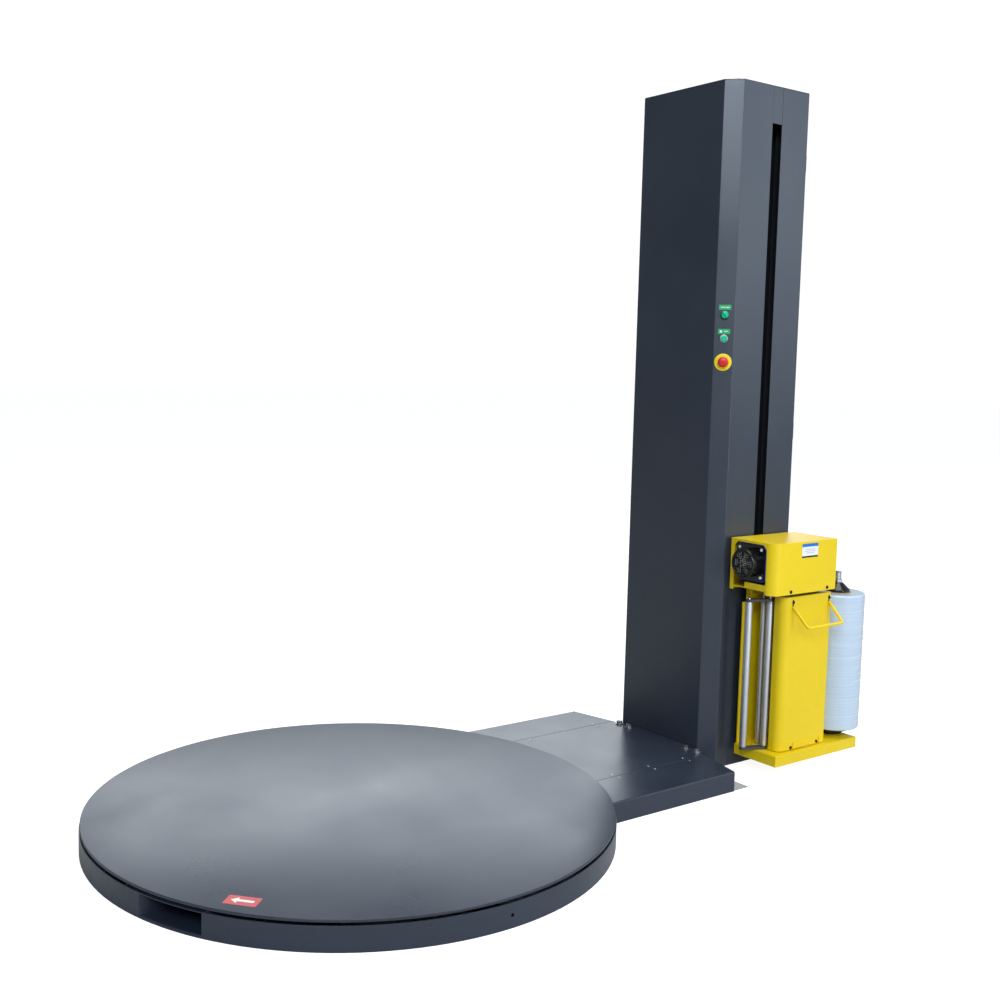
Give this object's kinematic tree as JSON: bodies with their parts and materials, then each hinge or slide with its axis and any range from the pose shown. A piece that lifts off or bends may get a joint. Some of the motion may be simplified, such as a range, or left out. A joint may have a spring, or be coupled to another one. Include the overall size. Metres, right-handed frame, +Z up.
{
  "type": "turntable pallet wrapper",
  "caption": "Low round turntable with a chain-driven deck and a slotted mast whose sliding carriage unwinds stretch film onto a pallet load.",
  "frame": {"origin": "on the floor at the turntable's axis", "axes": "+X from the turntable towards the mast, +Y away from the film carriage, +Z up"},
  "size_m": [2.7495, 1.605, 2.412],
  "materials": {
    "mast_paint": "fine textured powder coat, dark slate grey",
    "base_paint": "fine textured powder coat, dark slate grey",
    "frame_paint": "plain dark paint on the hidden frame",
    "carriage_yellow": "smooth yellow powder coat",
    "bare_steel": "machined steel",
    "zinc_steel": "zinc-plated fasteners",
    "roller_aluminium": "fine-turned aluminium",
    "dancer_grey": "dark grey moulded bars",
    "black_plastic": "black moulded plastic",
    "motor_blue": "blue enamel",
    "wheel_nylon": "cast nylon",
    "roller_rubber": "ground rubber cover",
    "chain_steel": "oiled chain steel",
    "button_green": "translucent green plastic",
    "estop_red": "red plastic",
    "estop_yellow": "yellow plastic",
    "film_plastic": "wound clear stretch film",
    "cardboard": "spiral-wound board",
    "cabinet_grey": "light grey enamel"
  },
  "bodies": {
    "root": {"skirt_ring": "base_paint", "fork_tubes": "base_paint", "base_hub": "frame_paint", "base_frame": "frame_paint", "wheel_brackets": "frame_paint", "deck_shells": "base_paint", "deck_cover_plate": "base_paint", "mast_base": "frame_paint", "mast_front_shell": "mast_paint", "mast_slot_panels": "mast_paint", "mast_far_panel": "mast_paint", "mast_rear_door": "mast_paint", "mast_top_cap": "mast_paint", "mast_bolts": "zinc_steel", "mast_frame": "frame_paint", "lift_gearmotor": "motor_blue", "lift_chain": "chain_steel", "drive_gearmotor": "motor_blue", "drive_chain": "chain_steel", "electrical_cabinet": "cabinet_grey", "power_inlet": "black_plastic", "control_bodies": "black_plastic", "estop_disc": "estop_yellow"},
    "turntable": {"turntable_plate": "base_paint", "turntable_hub": "bare_steel"},
    "support_wheel_1": {"support_wheel_1": "wheel_nylon"},
    "support_wheel_2": {"support_wheel_2": "wheel_nylon"},
    "support_wheel_3": {"support_wheel_3": "wheel_nylon"},
    "support_wheel_4": {"support_wheel_4": "wheel_nylon"},
    "drive_sprocket": {"drive_sprocket": "bare_steel"},
    "lift_sprocket": {"lift_sprocket": "bare_steel"},
    "idler_sprocket": {"idler_sprocket": "bare_steel"},
    "selector": {"selector_knob": "button_green"},
    "start_button": {"start_button": "button_green"},
    "estop_stem": {"estop_stem": "black_plastic"},
    "estop_head": {"estop_head": "estop_red"},
    "carriage": {"slider_frame": "frame_paint", "carriage_tray": "carriage_yellow", "carriage_back_plate": "carriage_yellow", "upper_plate": "carriage_yellow", "motor_cover": "carriage_yellow", "stretch_gearmotor": "motor_blue", "fan_cowl": "black_plastic", "front_cover": "carriage_yellow", "cover_handle": "carriage_yellow", "carriage_screws": "black_plastic", "roller_shafts": "zinc_steel"},
    "guide_wheels_lower": {"guide_wheels_lower": "wheel_nylon"},
    "guide_wheels_upper": {"guide_wheels_upper": "wheel_nylon"},
    "motor_fan": {"motor_fan": "cabinet_grey"},
    "stretch_roller_slow": {"stretch_roller_slow": "roller_rubber"},
    "stretch_roller_fast": {"stretch_roller_fast": "roller_rubber"},
    "idle_roller": {"idle_roller": "roller_aluminium"},
    "pivot_roller": {"pivot_roller": "roller_aluminium"},
    "dancer_arm": {"dancer_arm": "dancer_grey"},
    "dancer_roller": {"dancer_roller": "roller_aluminium"},
    "film": {"film_mandrel": "black_plastic", "film_core": "cardboard", "film_roll": "film_plastic"}
  },
  "joints": [
    {"name": "turntable_spin", "type": "hinge", "parent": "root", "child": "turntable", "pos_m": [0, 0, 0.083], "axis": [0, 0, 1], "continuous": true},
    {"name": "support_wheel_1_spin", "type": "hinge", "parent": "root", "child": "support_wheel_1", "pos_m": [0.62, 0, 0.0527], "axis": [1, 0, 0], "continuous": true},
    {"name": "support_wheel_2_spin", "type": "hinge", "parent": "root", "child": "support_wheel_2", "pos_m": [0, 0.62, 0.0527], "axis": [0, 1, 0], "continuous": true},
    {"name": "support_wheel_3_spin", "type": "hinge", "parent": "root", "child": "support_wheel_3", "pos_m": [-0.62, 0, 0.0527], "axis": [-1, 0, 0], "continuous": true},
    {"name": "support_wheel_4_spin", "type": "hinge", "parent": "root", "child": "support_wheel_4", "pos_m": [0, -0.62, 0.0527], "axis": [0, -1, 0], "continuous": true},
    {"name": "drive_sprocket_spin", "type": "hinge", "parent": "root", "child": "drive_sprocket", "pos_m": [1.41, 0, 0.044], "axis": [0, 0, 1], "continuous": true},
    {"name": "carriage_lift", "type": "slide", "parent": "root", "child": "carriage", "axis": [0, 0, 1], "range_m": [0, 1.5]},
    {"name": "lift_sprocket_spin", "type": "hinge", "parent": "root", "child": "lift_sprocket", "pos_m": [1.541, -0.045, 2.3], "axis": [1, 0, 0], "continuous": true},
    {"name": "idler_sprocket_spin", "type": "hinge", "parent": "root", "child": "idler_sprocket", "pos_m": [1.541, -0.045, 0.1], "axis": [1, 0, 0], "continuous": true},
    {"name": "guide_wheels_lower_spin", "type": "hinge", "parent": "carriage", "child": "guide_wheels_lower", "pos_m": [1.541, -0.135, 0.2], "axis": [1, 0, 0], "continuous": true},
    {"name": "guide_wheels_upper_spin", "type": "hinge", "parent": "carriage", "child": "guide_wheels_upper", "pos_m": [1.541, -0.135, 0.58], "axis": [1, 0, 0], "continuous": true},
    {"name": "selector_turn", "type": "hinge", "parent": "root", "child": "selector", "pos_m": [1.343, -0.194, 1.612], "axis": [-0.7071, -0.7071, 0], "range_deg": [-90, 0]},
    {"name": "start_press", "type": "slide", "parent": "root", "child": "start_button", "axis": [0.7071, 0.7071, 0], "range_m": [0, 0.004], "stiffness_N_per_m": 400, "springref_m": -0.003},
    {"name": "estop_press", "type": "slide", "parent": "root", "child": "estop_stem", "axis": [0.7071, 0.7071, 0], "range_m": [0, 0.005]},
    {"name": "estop_twist", "type": "hinge", "parent": "estop_stem", "child": "estop_head", "pos_m": [1.343, -0.194, 1.449], "axis": [-0.7071, -0.7071, 0], "range_deg": [-40, 0], "stiffness_Nm_per_rad": 0.3, "springref_deg": 17.19},
    {"name": "fan_spin", "type": "hinge", "parent": "carriage", "child": "motor_fan", "pos_m": [1.372, -0.3195, 0.761], "axis": [1, 0, 0], "continuous": true},
    {"name": "stretch_roller_slow_spin", "type": "hinge", "parent": "carriage", "child": "stretch_roller_slow", "pos_m": [1.655, -0.3295, 0.4], "axis": [0, 0, 1], "continuous": true},
    {"name": "stretch_roller_fast_spin", "type": "hinge", "parent": "carriage", "child": "stretch_roller_fast", "pos_m": [1.58, -0.3295, 0.4], "axis": [0, 0, 1], "continuous": true},
    {"name": "idle_roller_spin", "type": "hinge", "parent": "carriage", "child": "idle_roller", "pos_m": [1.49, -0.302, 0.4], "axis": [0, 0, 1], "continuous": true},
    {"name": "pivot_roller_spin", "type": "hinge", "parent": "carriage", "child": "pivot_roller", "pos_m": [1.474, -0.342, 0.4], "axis": [0, 0, 1], "continuous": true},
    {"name": "dancer_swing", "type": "hinge", "parent": "carriage", "child": "dancer_arm", "pos_m": [1.474, -0.342, 0.4], "axis": [0, 0, 1], "range_deg": [0, 35], "stiffness_Nm_per_rad": 1, "springref_deg": -17.19},
    {"name": "dancer_roller_spin", "type": "hinge", "parent": "dancer_arm", "child": "dancer_roller", "pos_m": [1.398, -0.313, 0.4], "axis": [0, 0, 1], "continuous": true},
    {"name": "film_spin", "type": "hinge", "parent": "carriage", "child": "film", "pos_m": [1.849, -0.339, 0.4], "axis": [0, 0, 1], "continuous": true}
  ],
  "couplings": [
    {"joint": "support_wheel_1_spin", "follows": "turntable_spin", "ratio": -28.182},
    {"joint": "support_wheel_2_spin", "follows": "turntable_spin", "ratio": -28.182},
    {"joint": "support_wheel_3_spin", "follows": "turntable_spin", "ratio": -28.182},
    {"joint": "support_wheel_4_spin", "follows": "turntable_spin", "ratio": -28.182},
    {"joint": "drive_sprocket_spin", "follows": "turntable_spin", "ratio": 4.1176},
    {"joint": "lift_sprocket_spin", "follows": "carriage_lift", "rad_per_m": -25.125},
    {"joint": "idler_sprocket_spin", "follows": "carriage_lift", "rad_per_m": -25.125},
    {"joint": "guide_wheels_lower_spin", "follows": "carriage_lift", "rad_per_m": -40},
    {"joint": "guide_wheels_upper_spin", "follows": "carriage_lift", "rad_per_m": 40},
    {"joint": "stretch_roller_fast_spin", "follows": "stretch_roller_slow_spin", "ratio": -2.3333},
    {"joint": "fan_spin", "follows": "stretch_roller_slow_spin", "ratio": 15}
  ]
}
